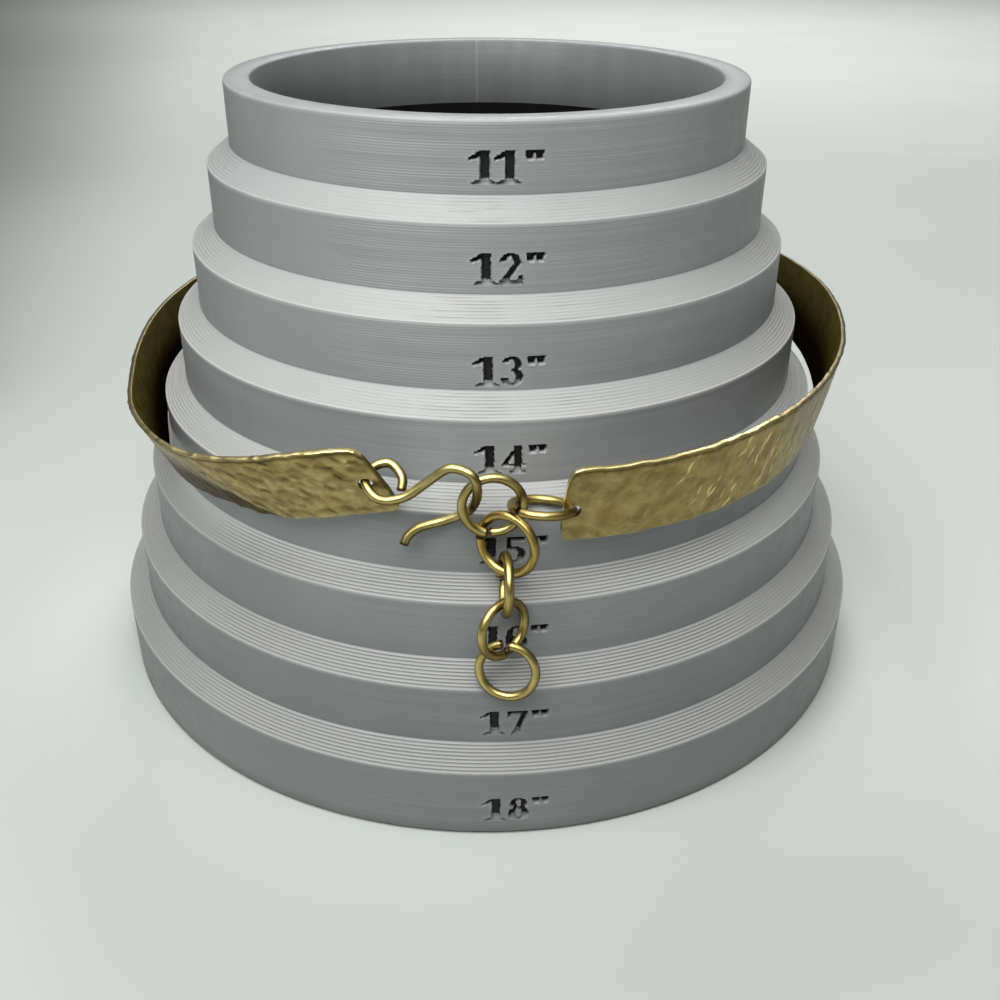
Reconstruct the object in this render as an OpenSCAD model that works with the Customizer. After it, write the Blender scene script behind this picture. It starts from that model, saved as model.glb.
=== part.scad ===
// Hammered strip choker with a wire hook and a chain of six rings,
// resting round the stepped cone of a sizing stand. Millimetres, +Z up.
// The origin is on the stand's axis, on the surface that it stands on.
// Plan angles run from the front (-Y) towards the right (+X).

/* [Stand] */
// Size number of the top step, in inches of circumference
size_top = 11; // [10:1:12]
// Size number of the bottom step
size_bottom = 18; // [17:1:18]
// Height of the straight wall of a step
wall_h = 10.1; // [9:0.1:11]
// Height that each printed ledge rises to the next wall
ledge_h = 3.1; // [2.4:0.1:3.6]
// Height of the bottom step
base_h = 12.8; // [12:0.1:14]
// Printed layers in one ledge
ledge_layers = 9; // [4:1:12]
// Wall left at the top rim
rim_wall = 4.5; // [3:0.1:6]
// Depth of the straight bore under the rim
rim_depth = 12; // [8:1:16]
// Wall left at the foot
foot_wall = 4.4; // [3:0.1:6]
// Depth of the engraved size numbers
engrave = 1; // [0.4:0.1:1.4]
// Plan angle of the middle of the numbers
label_turn = 3.5; // [0:0.5:10]

/* [Strip] */
// Width of the brass strip
strip_w = 12.5; // [11:0.1:13]
// Thickness of the brass strip
strip_t = 0.9; // [0.6:0.1:1.2]
// Depth of the hammer marks
hammer = 0.12; // [0:0.02:0.2]
// Diameter of the hole at each end
hole_d = 2.2; // [2.1:0.1:2.6]

/* [Wire] */
// Diameter of the wire of the hook and rings
wire_d = 1.4; // [1:0.1:1.5]
// Opening left at each ring's seam, in degrees
seam_gap = 4; // [2:1:10]

/* [Hidden] */
inch = 25.4;
grey = "#8b8f90";
brass = "#8f7a3f";
wire_brass = "#b09a55";

// Stand: a step for every size
steps = size_bottom - size_top;
pitch = wall_h + ledge_h;
function step_r(size) = size * inch / (2 * PI);
function step_top(size) = base_h + (size_bottom - size) * pitch;
stand_h = step_top(size_top);
rim_r = step_r(size_top) - rim_wall;
foot_chamfer = 0.6;
rim_chamfer = 0.4;

// The choker rests on the step of this size, and its heights start at that step's top
rest_size = 15;
rest_z = step_top(rest_size);

// Size numbers, drawn in a box 5 high about their own middle line
label_mid = 4;
base_label_mid = 5.7;
glyph_h = 5;
tens_place = -3.4;
ones_place = 0.3;
mark_place = 3.9;
arc_points = 14;
cut_over = 1;

// Strip: one row for each hand-set place along the bend
ANGLE = 0;
RADIUS = 1;
HEIGHT = 2;
LEAN = 3;
STRIP = [
    // plan angle, radius, height of the middle line over rest_z, lean outwards at the top
    [10, 65.2, 3.4, 8],
    [25, 66.4, 4.0, 8],
    [40, 66.2, 4.8, 7],
    [60, 64.6, 6.0, 11],
    [80, 63.0, 7.2, 16],
    [100, 62.6, 8.0, 19],
    [125, 62.4, 8.4, 14],
    [150, 61.6, 7.8, 7],
    [180, 61.0, 6.6, 0],
    [210, 63.0, 5.0, 0],
    [235, 64.8, 3.4, 2],
    [255, 64.2, 2.0, 8],
    [275, 63.1, 1.0, 14],
    [290, 63.7, 0.4, 20],
    [305, 66.4, 0.6, 25],
    [320, 67.8, 1.8, 30],
    [335, 66.2, 4.2, 18],
    [348, 63.0, 6.6, 9]
];
// Ends of the strip: plan angle, share of the half width left below and above
half_w = strip_w / 2;
RIGHT_END = [[9.3, -0.74, -0.5], [9.45, -0.87, -0.18], [9.65, -0.96, 0.12], [9.9, -1, 0.43],
    [10.15, -1, 0.67], [10.5, -1, 0.86], [11, -1, 0.96], [11.8, -1, 1]];
LEFT_END = [[342.8, -1, 1], [343.6, -1, 0.92], [344.4, -1, 0.73], [345, -1, 0.49], [345.5, -1, 0.26],
    [346.1, -1, 0], [346.6, -1, -0.24], [347, -0.97, -0.45], [347.4, -0.88, -0.68]];
body_step = 3.6;
edge_r = 0.2;
// Holes: plan angle, distance up the strip from its middle line, and the drill's length
hole_right = [10.8, -0.9];
hole_left = [344.1, -0.2];
hole_cut = 5;

// Rings: middle, tilt and turn of the axis, place of the seam, mid radius
RINGS = [
    // x, y, z over rest_z, tilt, turn, seam, radius
    [7.8, -63.6, 2.7, 14, 164, 56, 4.4],
    [0.7, -63.6, 3.0, 89, 4, 262, 4.45],
    [2.8, -64.5, -3.0, 86, -31, 177, 4.6],
    [2.6, -66.9, -8.4, 93, 96, 340, 4.3],
    [2.3, -68.3, -15.3, 85, 42, 271, 4.3],
    [2.9, -69.4, -22.2, 81, -12, 96, 4.35]
];

// Hook: points on the wire's middle line, from the closed eye to the tip, z over rest_z
HOOK = [
    [-12.4, -62.7, 4.9], [-12.3, -61.5, 6.5], [-14.0, -59.9, 7.9], [-16.3, -59.8, 7.4],
    [-17.6, -60.9, 6.0], [-17.2, -62.4, 5.1], [-15.8, -63.6, 4.2], [-14.0, -64.1, 4.1],
    [-11.5, -64.2, 4.9], [-8.8, -64.1, 6.9], [-6.0, -64.3, 9.1], [-4.2, -64.7, 9.5],
    [-2.2, -65.4, 8.8], [-1.5, -65.5, 7.0], [-1.7, -63.9, 4.0], [-3.0, -61.9, 1.0],
    [-6.3, -61.3, -0.8], [-10.0, -61.4, -1.9], [-11.8, -61.8, -3.2], [-12.4, -62.3, -4.4]
];
hook_sides = 10;
hook_steps = 5;
tip_share = 0.8;

// Smooth curve through column c of a table whose first column runs upwards
function slope_at(t, c, i) =
    let(a = max(i - 1, 0), b = min(i + 1, len(t) - 1))
    (t[b][c] - t[a][c]) / (t[b][ANGLE] - t[a][ANGLE]);
function row_before(t, x, i = 0) =
    i >= len(t) - 2 || x < t[i + 1][ANGLE] ? i : row_before(t, x, i + 1);
function curve(t, c, x) =
    let(i = row_before(t, x),
        h = t[i + 1][ANGLE] - t[i][ANGLE],
        s = (x - t[i][ANGLE]) / h)
    t[i][c] * (2 * pow(s, 3) - 3 * s * s + 1)
    + slope_at(t, c, i) * h * (pow(s, 3) - 2 * s * s + s)
    + t[i + 1][c] * (3 * s * s - 2 * pow(s, 3))
    + slope_at(t, c, i + 1) * h * (pow(s, 3) - s * s);

function unit(v) = v / norm(v);
function strip_mid(a) =
    let(r = curve(STRIP, RADIUS, a))
    [r * sin(a), -r * cos(a), rest_z + curve(STRIP, HEIGHT, a)];
function strip_along(a) = unit(strip_mid(a + 0.5) - strip_mid(a - 0.5));
// Across the strip, upwards, and out of its face, at a plan angle
function strip_up(a) =
    let(t = strip_along(a), flat_up = unit([0, 0, 1] - t * t[2]), lean = curve(STRIP, LEAN, a))
    flat_up * cos(lean) + cross(t, flat_up) * sin(lean);
function strip_out(a) = cross(strip_along(a), strip_up(a));

// Soft dents of the hammer over the outer face, and the wave that they give the edges
function dent(a, v) = hammer * (sin(a * 47 + v * 61) * cos(v * 83 - a * 19) - 0.6);
function edge_wave(a) = hammer * (0.6 * sin(a * 37) + 0.4 * sin(a * 71 + 40));

// Sections of the strip: plan angle, lower and upper edge
body_stations = floor((LEFT_END[0][0] - RIGHT_END[len(RIGHT_END) - 1][0]) / body_step);
STATIONS = concat(
    [for (e = RIGHT_END) [e[0], e[1] * half_w, e[2] * half_w]],
    [for (i = [1:body_stations - 1])
        let(first = RIGHT_END[len(RIGHT_END) - 1][0], last = LEFT_END[0][0],
            a = first + (last - first) * i / body_stations)
        [a, -half_w - edge_wave(a + 60), half_w + edge_wave(a)]],
    [for (e = LEFT_END) [e[0], e[1] * half_w, e[2] * half_w]]
);
function section(s) =
    let(a = s[0], low = s[1] + edge_r, high = s[2] - edge_r, h = strip_t / 2,
        across = high - low, p = strip_mid(a), u = strip_up(a), n = strip_out(a),
        outline = concat(
            [for (f = [0, 0.25, 0.5, 0.75, 1]) [low + across * f, h + dent(a, low + across * f)]],
            [[s[2], h - edge_r], [s[2], edge_r - h]],
            [for (f = [1, 0.5, 0]) [low + across * f, -h]],
            [[s[1], edge_r - h], [s[1], h - edge_r]]))
    [for (q = outline) p + u * q[0] + n * q[1]];

// Skin over a row of equal outlines, closed at both ends
module skin(rows) {
    n = len(rows[0]);
    last = len(rows) - 1;
    sides = [for (i = [0:last - 1], j = [0:n - 1])
        let(a = i * n + j, b = i * n + (j + 1) % n)
        for (f = [[a, b, b + n], [a, b + n, a + n]]) f];
    start_cap = [[for (j = [n - 1:-1:0]) j]];
    end_cap = [[for (j = [0:n - 1]) last * n + j]];
    polyhedron([for (r = rows) each r], concat(sides, start_cap, end_cap));
}

module strip_hole(place) {
    n = strip_out(place[0]);
    translate(strip_mid(place[0]) + strip_up(place[0]) * place[1])
        rotate([0, acos(n[2]), atan2(n[1], n[0])])
            cylinder(h = hole_cut, d = hole_d, center = true, $fn = 48);
}

module strip() {
    color(brass)
        difference() {
            skin([for (s = STATIONS) section(s)]);
            strip_hole(hole_right);
            strip_hole(hole_left);
        }
}

// Wire hook: smooth curve through its points, swept with an even round
function hook_at(i) = [0, 0, rest_z] + HOOK[max(0, min(len(HOOK) - 1, i))];
function hook_point(i, s) =
    let(a = hook_at(i - 1), b = hook_at(i), c = hook_at(i + 1), d = hook_at(i + 2))
    (b * 2 + (c - a) * s + (a * 2 - b * 5 + c * 4 - d) * s * s
        + (b * 3 - a - c * 3 + d) * pow(s, 3)) / 2;
HOOK_LINE = [for (i = [0:len(HOOK) - 2], k = [0:hook_steps - 1]) hook_point(i, k / hook_steps)];
HOOK_PATH = concat(HOOK_LINE, [hook_at(len(HOOK) - 1)]);
function path_dir(p, i) = unit(p[min(i + 1, len(p) - 1)] - p[max(i - 1, 0)]);
// Carries the first sideways direction along the path without twist
function carried(p, i, side) = let(d = path_dir(p, i)) unit(side - d * (side * d));
function sides_along(p, i = 0, side = [0, -1, 0], found = []) =
    i == len(p) ? found
    : let(s = carried(p, i, side)) sides_along(p, i + 1, s, concat(found, [s]));
HOOK_SIDES = sides_along(HOOK_PATH);
function wire_ring(p, i, r) =
    let(s = HOOK_SIDES[i], t = cross(path_dir(p, i), s))
    [for (k = [0:hook_sides - 1])
        let(a = 360 * k / hook_sides) p[i] + s * cos(a) * r - t * sin(a) * r];

module hook() {
    last = len(HOOK_PATH) - 1;
    color(wire_brass)
        skin([for (i = [0:last])
            wire_ring(HOOK_PATH, i, wire_d / 2 * (i == 0 || i == last ? tip_share : 1))]);
}

module ring(i) {
    r = RINGS[i];
    color(wire_brass)
        translate([r[0], r[1], rest_z + r[2]])
            rotate([r[3], 0, r[4]])
                rotate([0, 0, r[5] + seam_gap / 2])
                    rotate_extrude(angle = 360 - seam_gap, $fn = 96)
                        translate([r[6], 0])
                            circle(d = wire_d, $fn = 32);
}

// Half outline of the stand: steps outside, plain bore and cone inside
function ledge_points(size) =
    let(r0 = step_r(size + 1), run = (r0 - step_r(size)) / ledge_layers,
        z0 = step_top(size + 1), rise = ledge_h / ledge_layers)
    [for (k = [0:ledge_layers - 1], up = [0, 1]) [r0 - (k + 1) * run, z0 + (k + up) * rise]];
function wall_top(size) = [step_r(size), step_top(size) - (size == size_top ? rim_chamfer : 0)];
STAND_OUTLINE = concat(
    [[step_r(size_bottom) - foot_wall, 0], [step_r(size_bottom) - foot_chamfer, 0],
     [step_r(size_bottom), foot_chamfer], wall_top(size_bottom)],
    [for (k = [1:steps]) each concat(ledge_points(size_bottom - k), [wall_top(size_bottom - k)])],
    [[step_r(size_top) - rim_chamfer, stand_h], [rim_r + rim_chamfer, stand_h],
     [rim_r, stand_h - rim_chamfer], [rim_r, stand_h - rim_depth]]
);

// Plain slab numerals, 5 high, each drawn about its own middle
function arc_stroke(mid, outer, inner, from, to) =
    concat(
        [for (k = [0:arc_points]) let(a = from + (to - from) * k / arc_points)
            mid + [outer[0] * cos(a), outer[1] * sin(a)]],
        [for (k = [arc_points:-1:0]) let(a = from + (to - from) * k / arc_points)
            mid + [inner[0] * cos(a), inner[1] * sin(a)]]
    );
module bar(x0, x1, y0, y1) {
    translate([x0, y0])
        square([x1 - x0, y1 - y0]);
}
module loop(mid, outer, inner) {
    difference() {
        polygon(arc_stroke(mid, outer, [0, 0], 0, 359));
        polygon(arc_stroke(mid, inner, [0, 0], 0, 359));
    }
}
module one() {
    bar(-0.65, 0.65, 0, glyph_h);
    polygon([[-1.7, 0], [1.6, 0], [1.6, 0.25], [0.65, 0.7], [-0.65, 0.7], [-1.7, 0.25]]);
    polygon([[-0.6, 5], [-2.2, 3.9], [-2.2, 3.5], [-0.6, 4]]);
}
module two() {
    polygon(arc_stroke([-0.1, 3.6], [1.45, 1.4], [0.5, 1], -30, 175));
    polygon([[1.2, 3], [0.3, 3.2], [-1.6, 0.4], [-1.6, 0], [-0.6, 0.3]]);
    bar(-1.6, 1.7, 0, 0.75);
    polygon([[0.9, 0.7], [1.7, 0.7], [1.7, 1.5], [1.3, 1.5]]);
}
module three() {
    polygon(arc_stroke([-0.1, 3.7], [1.4, 1.3], [0.5, 0.85], -90, 165));
    polygon(arc_stroke([-0.1, 1.5], [1.65, 1.5], [0.6, 1], -170, 90));
}
module four() {
    bar(0.1, 1.2, 0, glyph_h);
    bar(-1.7, 1.7, 1.3, 1.8);
    bar(-0.5, 1.7, 0, 0.45);
    polygon([[0.5, 5], [-1.7, 1.8], [-1.7, 1.3], [-1.1, 1.6], [0.5, 4]]);
}
module five() {
    bar(-1.2, 1.4, 4.3, glyph_h);
    bar(-1.2, -0.7, 2.5, 4.5);
    polygon(arc_stroke([-0.1, 1.6], [1.65, 1.6], [0.6, 1.1], -165, 135));
}
module six() {
    polygon(arc_stroke([0.1, 2.5], [1.7, 2.5], [0.75, 2], 50, 250));
    loop([0.1, 1.5], [1.6, 1.5], [0.6, 0.95]);
}
module seven() {
    bar(-1.5, 1.6, 4.2, glyph_h);
    bar(-1.5, -1.1, 3.6, 4.3);
    polygon([[1.6, 4.3], [0.7, 4.3], [-0.9, 0], [0.4, 0], [0.5, 1.4]]);
}
module eight() {
    loop([0, 3.75], [1.35, 1.25], [0.45, 0.75]);
    loop([0, 1.5], [1.6, 1.5], [0.55, 0.9]);
}
module inch_mark() {
    bar(-1.3, 1.3, 4.6, glyph_h);
    for (side = [-1, 1])
        translate([side * 0.7, 0])
            polygon([[-0.6, 4.7], [-0.4, 3.6], [0.4, 3.6], [0.6, 4.7]]);
}
module ones(digit) {
    if (digit == 0) loop([0, 2.5], [1.6, 2.5], [0.7, 1.9]);
    if (digit == 1) one();
    if (digit == 2) two();
    if (digit == 3) three();
    if (digit == 4) four();
    if (digit == 5) five();
    if (digit == 6) six();
    if (digit == 7) seven();
    if (digit == 8) eight();
}
module on_wall(size, place) {
    mid = size == size_bottom ? base_label_mid : step_top(size) - wall_h + label_mid;
    turn = label_turn + place / step_r(size) * 180 / PI;
    rotate([0, 0, turn])
        translate([0, engrave - step_r(size), mid - glyph_h / 2])
            rotate([90, 0, 0])
                linear_extrude(engrave + cut_over)
                    children();
}
module size_number(size) {
    on_wall(size, tens_place) one();
    on_wall(size, ones_place) ones(size - 10);
    on_wall(size, mark_place) inch_mark();
}

module stand() {
    color(grey)
        difference() {
            rotate_extrude($fn = 180)
                polygon(STAND_OUTLINE);
            for (size = [size_top:size_bottom])
                size_number(size);
        }
}

stand();
strip();
hook();
ring(0);  // ring_1
ring(1);  // ring_2
ring(2);  // ring_3
ring(3);  // ring_4
ring(4);  // ring_5
ring(5);  // ring_6
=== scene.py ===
import math

import bpy
import numpy as np
from mathutils import Matrix, Vector


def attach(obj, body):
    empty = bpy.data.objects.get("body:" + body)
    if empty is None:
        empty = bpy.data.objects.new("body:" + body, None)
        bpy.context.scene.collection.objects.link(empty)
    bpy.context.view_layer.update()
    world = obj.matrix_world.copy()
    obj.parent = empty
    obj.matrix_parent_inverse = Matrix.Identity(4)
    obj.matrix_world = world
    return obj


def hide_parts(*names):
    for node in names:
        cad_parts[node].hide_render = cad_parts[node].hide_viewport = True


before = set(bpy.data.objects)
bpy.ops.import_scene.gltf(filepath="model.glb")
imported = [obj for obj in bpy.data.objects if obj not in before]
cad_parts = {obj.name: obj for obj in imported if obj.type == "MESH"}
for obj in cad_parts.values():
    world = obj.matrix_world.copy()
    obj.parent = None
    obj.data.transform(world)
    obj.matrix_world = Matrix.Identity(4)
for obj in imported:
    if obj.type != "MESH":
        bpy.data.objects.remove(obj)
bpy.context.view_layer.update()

MM = 0.001
INCH = 25.4

# Stand, in millimetres
FOOT_SIZE = 18
RIM_SIZE = 11
SIZES = range(FOOT_SIZE, RIM_SIZE - 1, -1)
WALL_H = 10.1
LEDGE_H = 3.1
BASE_H = 12.8
FOOT_WALL = 4.4
FOOT_CHAMFER = 0.6
RIM_WALL = 4.5
RIM_CHAMFER = 0.4
RIM_DEPTH = 12
STAND_COLUMNS = 220
# Printed lines of the ledges and of the walls
LEDGE_LAYERS = 9
LAYER_H = LEDGE_H / LEDGE_LAYERS
WALL_LINE = 0.41

# Size numbers: plan angle of their column, and height of each middle over the foot of its wall
LABEL_TURN = 3.5
LABEL_MID = {18: 5.2, 17: 3.5, 16: 3.5, 15: 3.6, 14: 3.6, 13: 2.7, 12: 3.5, 11: 3.6}
GLYPH_H = 5
ENGRAVE = 1.1
PLACES = {"tens": -3.15, "ones": 0.42, "mark": 3.95}
# Window in the wall that a number's fine patch fills, margins round the patch, and the patch's own cells
WINDOW_HALF_W = 6.6
WINDOW_HALF_H = 2.5
SIDE_MARGIN = 0.4
END_MARGIN = 0.12
LABEL_SQUASH = 1.09
LABEL_CELL = 0.15
LAYER_SLIP = 0.09

# Strip and wire
STRIP_W = 12.5
STRIP_T = 0.9
EDGE_R = 0.2
HOLE_R = 1.1
WIRE_R = 0.7
REST_SIZE = 15


def step_r(size):
    """Radius of a step, from its marked circumference."""
    return size * INCH / (2 * math.pi)


def step_top(size):
    return BASE_H + (FOOT_SIZE - size) * (WALL_H + LEDGE_H)


REST_Z = step_top(REST_SIZE)
STAND_H = step_top(RIM_SIZE)


def around(radius, angle):
    """Point on a circle, with the angle in degrees from the front towards the right."""
    a = np.radians(angle)
    return np.stack([radius * np.sin(a), -radius * np.cos(a)], -1)


def unit(v):
    return v / np.linalg.norm(v, axis=-1, keepdims=True)


def read_off(table, column, x):
    """One column of a table at x, straight between rows. The table's first column runs upwards."""
    return np.interp(x, table[:, 0], table[:, column])


WAVE_BENDS = 2000


def wander(x, seed, step):
    """Smooth random wave along a line, about -1 to 1, with a bend every step."""
    values = np.random.RandomState(seed).uniform(-1, 1, WAVE_BENDS)
    t = x / step
    i = np.floor(t).astype(int)
    s = t - i
    s = s * s * (3 - 2 * s)
    return values[i] * (1 - s) + values[i + 1] * s


# Camera, light and floor: the lens in millimetres, the rest in metres and degrees

CAMERA_LENS = 40.07
CAMERA_DISTANCE = 0.2321
CAMERA_ELEVATION = 29.26
CAMERA_AIM = 0.0207
CAMERA_YAW = 0.629
CAMERA_ROLL = -0.039


def add_camera():
    elevation, yaw, roll = map(math.radians, (CAMERA_ELEVATION, CAMERA_YAW, CAMERA_ROLL))
    level = Vector((0, math.cos(elevation), -math.sin(elevation)))
    up = Vector((0, math.sin(elevation), math.cos(elevation)))
    right = Vector((1, 0, 0))
    aim = level * math.cos(yaw) + right * math.sin(yaw)
    side = right * math.cos(yaw) - level * math.sin(yaw)
    rolled_side = side * math.cos(roll) + up * math.sin(roll)
    rolled_up = up * math.cos(roll) - side * math.sin(roll)
    camera = bpy.data.objects.new("camera", bpy.data.cameras.new("camera"))
    camera.data.lens = CAMERA_LENS
    camera.data.sensor_width = 36
    camera.data.clip_start = 0.01
    turn = Matrix((rolled_side, rolled_up, -aim)).transposed()
    place = Vector((0, 0, CAMERA_AIM)) - level * CAMERA_DISTANCE
    camera.matrix_world = Matrix.Translation(place) @ turn.to_4x4()
    bpy.context.scene.collection.objects.link(camera)
    bpy.context.scene.camera = camera


def add_light(name, kind, place, aim, power, **settings):
    """Soft light at a place, turned to face another."""
    lamp = bpy.data.lights.new(name, kind)
    lamp.energy = power
    for key, value in settings.items():
        setattr(lamp, key, value)
    obj = bpy.data.objects.new(name, lamp)
    obj.location = place
    obj.rotation_euler = (Vector(aim) - Vector(place)).to_track_quat("-Z", "Y").to_euler()
    bpy.context.scene.collection.objects.link(obj)


def add_world(colour, strength):
    world = bpy.data.worlds.new("room")
    world.use_nodes = True
    glow = world.node_tree.nodes["Background"].inputs
    glow["Color"].default_value = (*colour, 1)
    glow["Strength"].default_value = strength
    bpy.context.scene.world = world


# Materials


class Tone:
    """A number or colour that comes out of a node, so that sums on it add Math nodes."""

    def __init__(self, finish, socket):
        self.finish = finish
        self.socket = socket

    def math(self, operation, *others):
        sockets = dict(enumerate((self, *others)))
        return self.finish.node("ShaderNodeMath", {"operation": operation}, sockets)

    def __add__(self, other):
        return self.math("ADD", other)

    def __mul__(self, other):
        return self.math("MULTIPLY", other)

    def __sub__(self, other):
        return self.math("SUBTRACT", other)

    def __rsub__(self, other):
        return self.finish.node("ShaderNodeMath", {"operation": "SUBTRACT"}, {0: other, 1: self})

    __radd__ = __add__
    __rmul__ = __mul__

    def sine(self):
        return self.math("SINE")

    def clamped(self):
        return self.finish.node("ShaderNodeClamp", {}, {"Value": self})

    def between(self, low, high, to_low=0.0, to_high=1.0):
        """Goes smoothly from one value to another as this number goes from low to high."""
        settings = {"interpolation_type": "SMOOTHSTEP"}
        sockets = {"Value": self, "From Min": low, "From Max": high, "To Min": to_low, "To Max": to_high}
        return self.finish.node("ShaderNodeMapRange", settings, sockets)


class Finish:
    """A material and the nodes that give it its look."""

    def __init__(self, name, **constants):
        self.material = bpy.data.materials.new(name)
        self.material.use_nodes = True
        self.tree = self.material.node_tree
        self.shader = self.tree.nodes["Principled BSDF"]
        for key, value in constants.items():
            socket_name = key.replace("_", " ").title().replace("Ior", "IOR")
            self.shader.inputs[socket_name].default_value = value

    def put(self, socket, value):
        if isinstance(value, Tone):
            self.tree.links.new(value.socket, socket)
        elif isinstance(value, tuple) and socket.type == "RGBA":
            socket.default_value = (*value, 1)
        else:
            socket.default_value = value

    def node(self, kind, settings, sockets, out=0):
        """Any node: its settings come first, then the values or links of its sockets."""
        made = self.tree.nodes.new(kind)
        for key, value in settings.items():
            setattr(made, key, value)
        for key, value in sockets.items():
            self.put(made.inputs[key], value)
        return Tone(self, made.outputs[out])

    def attribute(self, name, out="Fac"):
        return self.node("ShaderNodeAttribute", {"attribute_name": name}, {}, out)

    def place(self):
        """Position in the row frame, in millimetres."""
        where = self.node("ShaderNodeTexCoord", {}, {}, "Object")
        return self.node("ShaderNodeVectorMath", {"operation": "SCALE"}, {0: where, "Scale": 1 / MM})

    def split(self, vector):
        made = self.node("ShaderNodeSeparateXYZ", {}, {0: vector}).socket.node
        return [Tone(self, socket) for socket in made.outputs]

    def join(self, x, y, z):
        return self.node("ShaderNodeCombineXYZ", {}, {0: x, 1: y, 2: z})

    def stretch(self, vector, factors):
        return self.node("ShaderNodeVectorMath", {"operation": "MULTIPLY"}, {0: vector, 1: factors})

    def noise(self, vector, scale, detail, roughness=0.5, distortion=0.0):
        sockets = {"Vector": vector, "Scale": scale, "Detail": detail, "Roughness": roughness}
        return self.node("ShaderNodeTexNoise", {}, {**sockets, "Distortion": distortion})

    def mix(self, factor, first, second):
        """Colour between two others."""
        return self.node("ShaderNodeMix", {"data_type": "RGBA"}, {0: factor, 6: first, 7: second}, 2)

    def bump(self, height, distance, strength):
        """Relief of a height from 0 to 1, with the distance in millimetres."""
        sockets = {"Height": height, "Distance": distance * MM, "Strength": strength}
        return self.node("ShaderNodeBump", {}, sockets)

    def set(self, name, value):
        self.put(self.shader.inputs[name], value)


def printed_plastic():
    """Grey plastic laid down in layers: level lines, ledges painted pale as lit, cuts and hollow painted dark
    as shade.
    """
    f = Finish("printed_plastic", roughness=0.5, ior=1.46)
    place = f.place()
    x, y, z = f.split(place)
    cut = f.attribute("cut")
    light = f.attribute("painted_lightness")
    outside = light.between(-0.3, -0.1)
    inside = light.between(-0.3, -0.4)
    # Level lines of the walls, which fade away from the middle of the front
    front = x.between(-30, -15, 0.1, 1.0) * x.between(20, 45, 1.0, 0.3)
    bands = f.noise(f.join(x * 0.012, y * 0.012, z * 1.3), 1.0, 2.0, 0.6)
    patches = f.noise(place, 0.05, 3.0)
    grey = f.mix(patches.between(0.3, 0.7), (0.258, 0.272, 0.274), (0.285, 0.296, 0.294))
    lined = f.mix(bands.between(0.35, 0.7) * front * 0.22, grey, (0.2, 0.21, 0.21))
    # Fine pale streaks, and painted highlights on the printed lines, most on the left of the upper walls
    # where the light falls
    fine = f.noise(f.join(x * 0.02, y * 0.02, z * 3.2), 1.0, 1.0)
    lit_lines = (z * (2 * math.pi / WALL_LINE)).sine().between(-0.4, 0.9)
    drift = f.noise(f.join(x * 0.04, y * 0.04, z * 0.9), 1.0, 2.0).between(0.3, 0.6)
    lit_side = x.between(-29, -16) * x.between(-6, 8, 1.0, 0.2) * z.between(48, 80, 0.0, 0.36)
    streaks_and_highlights = (fine.between(0.5, 0.66) * front * 0.1 + lit_lines * drift * lit_side) * outside
    with_streaks_and_highlights = f.mix(streaks_and_highlights, lined, (0.5, 0.51, 0.5))
    # Upright light patches inside the rim, painted shade that makes the hollow below it near black, and
    # ledges painted pale as lit from above
    panes = f.noise(f.join(x * 0.14, 0.0, 0.0), 1.0, 2.0, 0.6).between(0.4, 0.6)
    paned = f.mix(panes * inside * 0.3, with_streaks_and_highlights, (0.36, 0.37, 0.36))
    deep = f.mix(light.between(-1, 0), (0.006, 0.006, 0.006), paned)
    pale = f.mix(z.between(60, 100), (0.46, 0.467, 0.446), (0.4, 0.407, 0.392))
    painted_light_and_shade = f.mix(light.clamped(), deep, pale)
    # Seam of the print, upright on the inner wall at the back
    seam_line = (x + 2.2).math("ABSOLUTE").between(0.1, 0.2, 0.22, 0.0) * y.between(0, 1)
    seam = seam_line * light.between(-0.6, -0.5) * light.between(-0.2, -0.3)
    seamed = f.mix(seam, painted_light_and_shade, (0.5, 0.5, 0.5))
    # Painted shade darkens the lower steps, painted light makes step 14's wall a little lighter
    low = f.mix(z.between(16, 60, 0.22, 0.0), seamed, (0.0, 0.0, 0.0))
    lit = f.mix(z.between(53, 57) * z.between(63.5, 65, 0.06, 0.0), low, (1.0, 1.0, 1.0))
    # Painted shade: the floors of the cut numbers near black
    f.set("Base Color", f.mix(cut.between(0.25, 0.85), lit, (0.008, 0.008, 0.01)))
    f.set("Roughness", f.noise(place, 0.4, 3.0).between(0.3, 0.7, 0.42, 0.56))
    layers = (z * (2 * math.pi / LAYER_H)).sine()
    f.set("Normal", f.bump((layers * 0.2 + bands) * front, 0.05, 0.4))
    return f.material


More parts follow.
